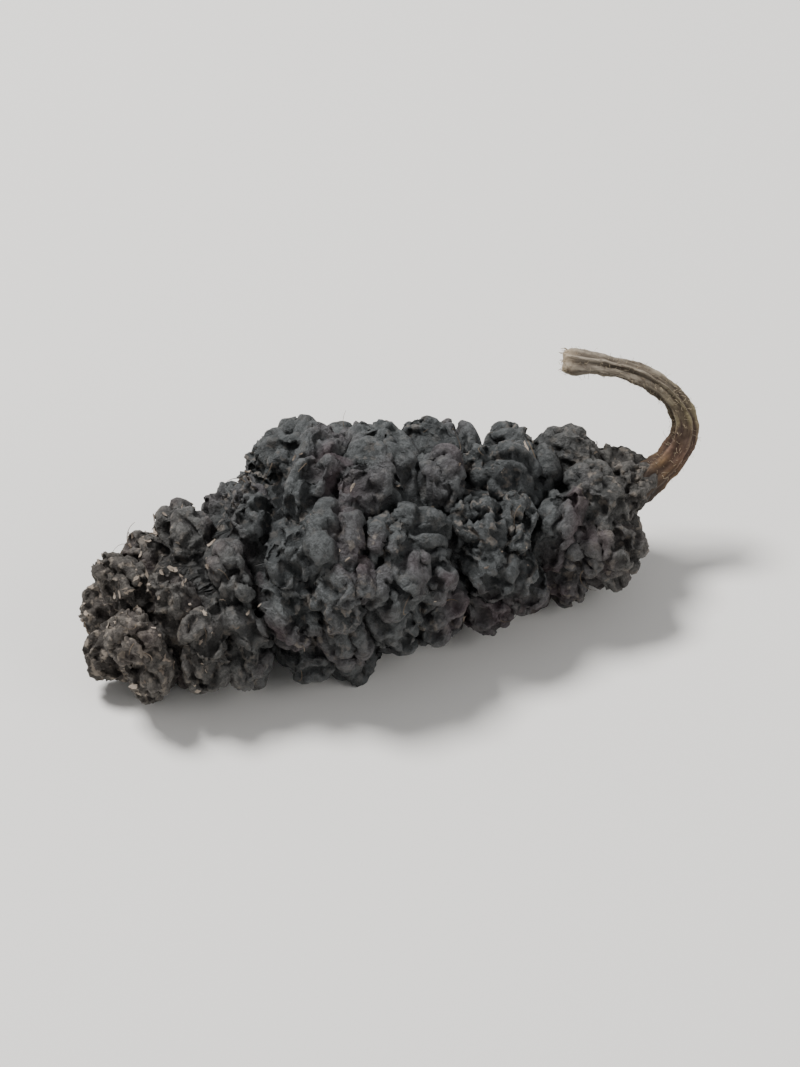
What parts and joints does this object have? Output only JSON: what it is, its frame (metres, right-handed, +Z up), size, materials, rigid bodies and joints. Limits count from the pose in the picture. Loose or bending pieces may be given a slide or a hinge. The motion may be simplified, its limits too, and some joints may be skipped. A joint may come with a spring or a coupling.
{
  "type": "dried mulberry",
  "caption": "Dried black mulberry lying on its side: a tapered cluster of shrunken drupelets with a short hooked stalk.",
  "frame": {"origin": "on the surface that the fruit rests on, under the middle of the whole outline", "axes": "+X from the fruit's tip to its stalk end, +Z up, +Y to the side that the stalk's cut end leans to"},
  "size_m": [0.0302, 0.0126, 0.0106],
  "materials": {
    "dried_skin": "matt, wrinkled, near black",
    "dried_stalk": "dry, ridged, tan"
  },
  "bodies": {
    "root": {"fruit": "dried_skin", "stalk": "dried_stalk"}
  },
  "joints": []
}
